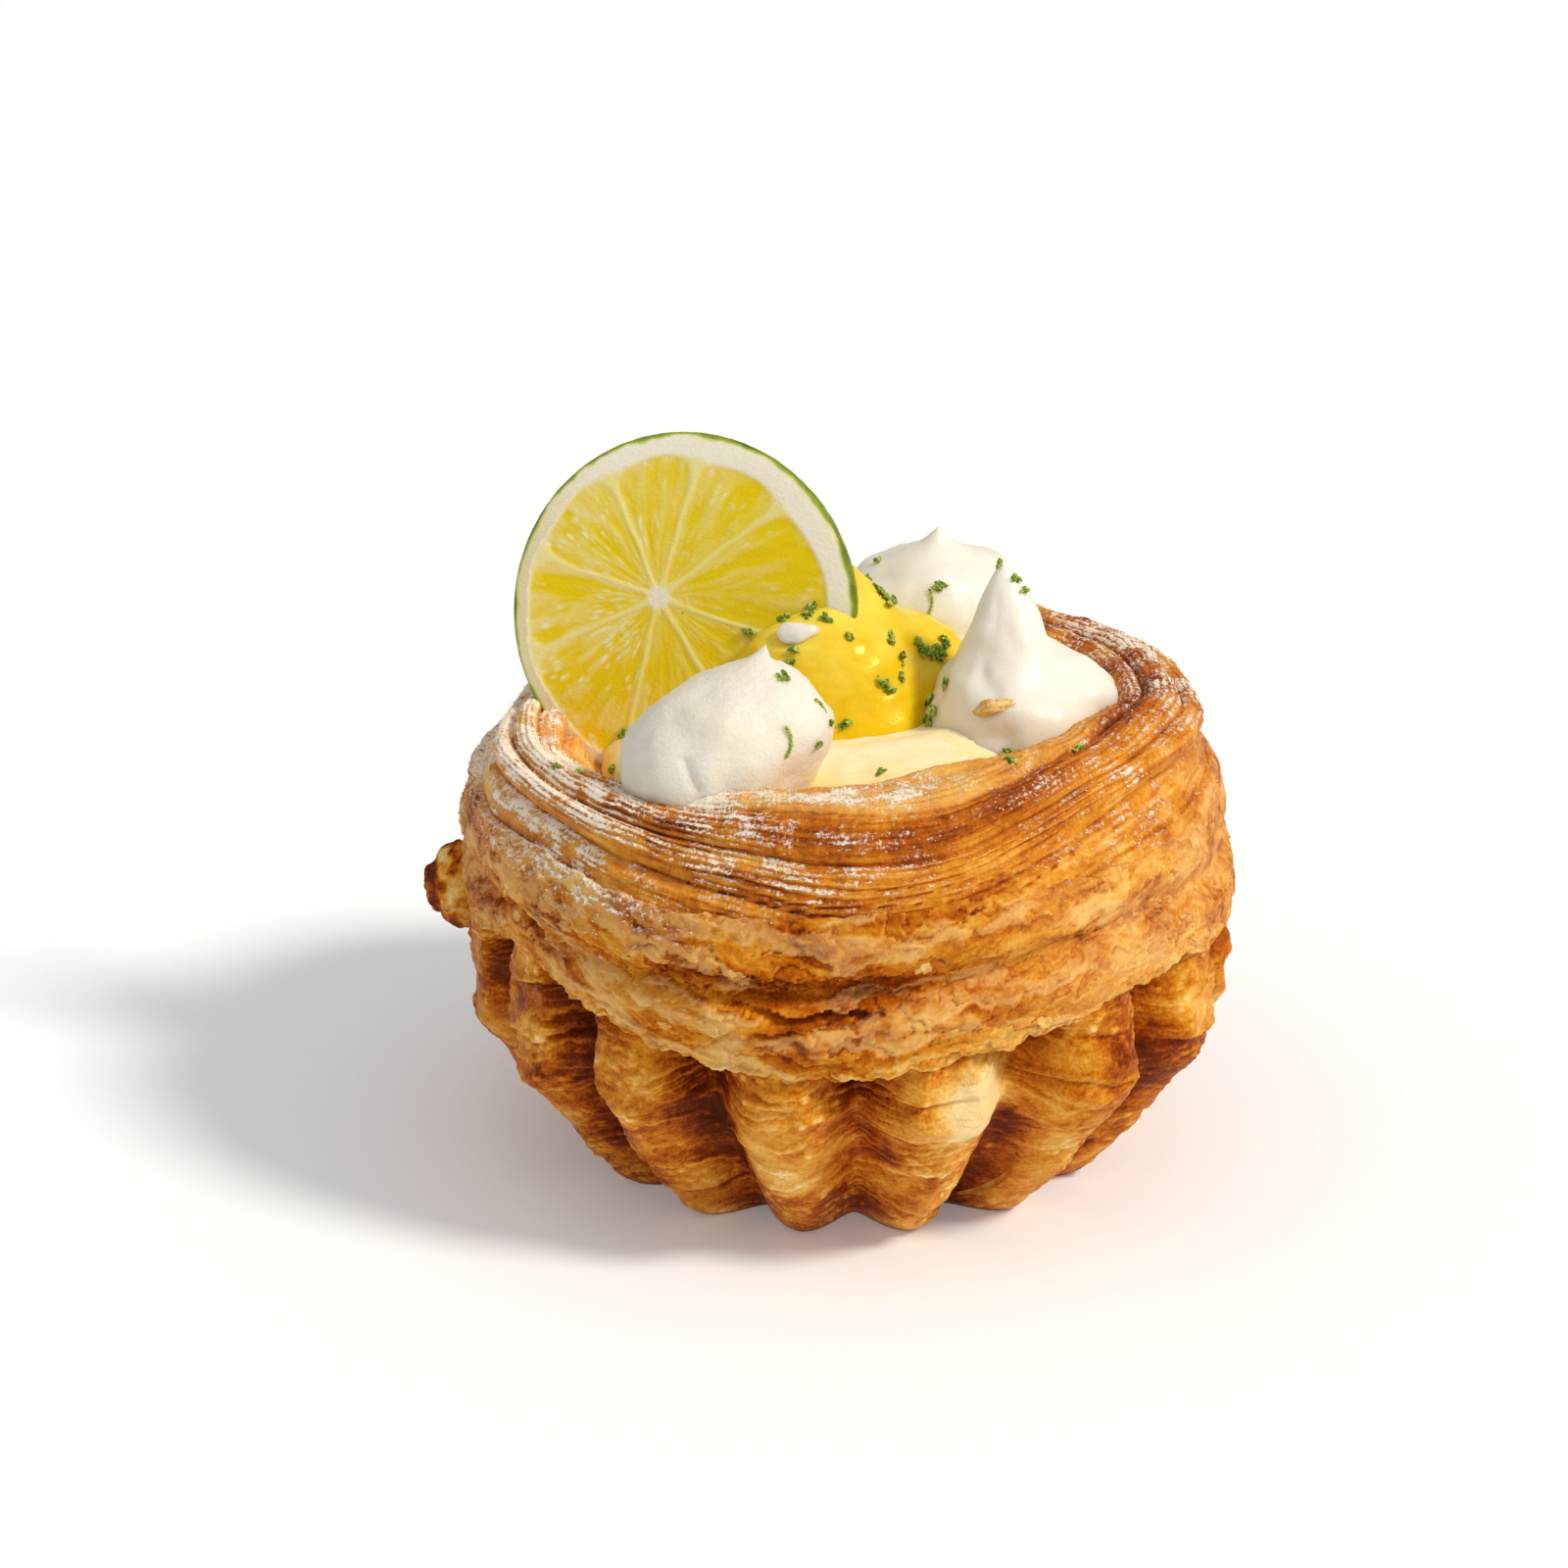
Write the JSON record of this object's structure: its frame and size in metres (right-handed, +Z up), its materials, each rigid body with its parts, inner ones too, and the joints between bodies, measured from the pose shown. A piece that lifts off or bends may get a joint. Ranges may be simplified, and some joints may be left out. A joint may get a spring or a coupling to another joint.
{
  "type": "danish pastry",
  "caption": "Round laminated danish baked in a fluted mould, with a coiled collar round a well of custard cream, lime curd, meringue kisses, a lime slice and zest.",
  "frame": {"origin": "middle of the flat base", "axes": "+Z up through the middle of the pastry, -Y towards the side shown in front"},
  "size_m": [0.1118, 0.1095, 0.0987],
  "materials": {
    "crust": "flaky caramel-brown baked crust with powdered sugar",
    "cream": "smooth pale-yellow custard cream",
    "curd": "glossy bright-yellow lime curd",
    "lime": "wet yellow-green lime flesh with white pith and thin green rind",
    "meringue": "soft satin white meringue"
  },
  "bodies": {
    "root": {"pastry": "crust", "custard_cream": "cream", "lime_curd": "curd", "lime_slice": "lime", "meringue_front": "meringue", "meringue_right": "meringue", "meringue_back": "meringue"}
  },
  "joints": []
}
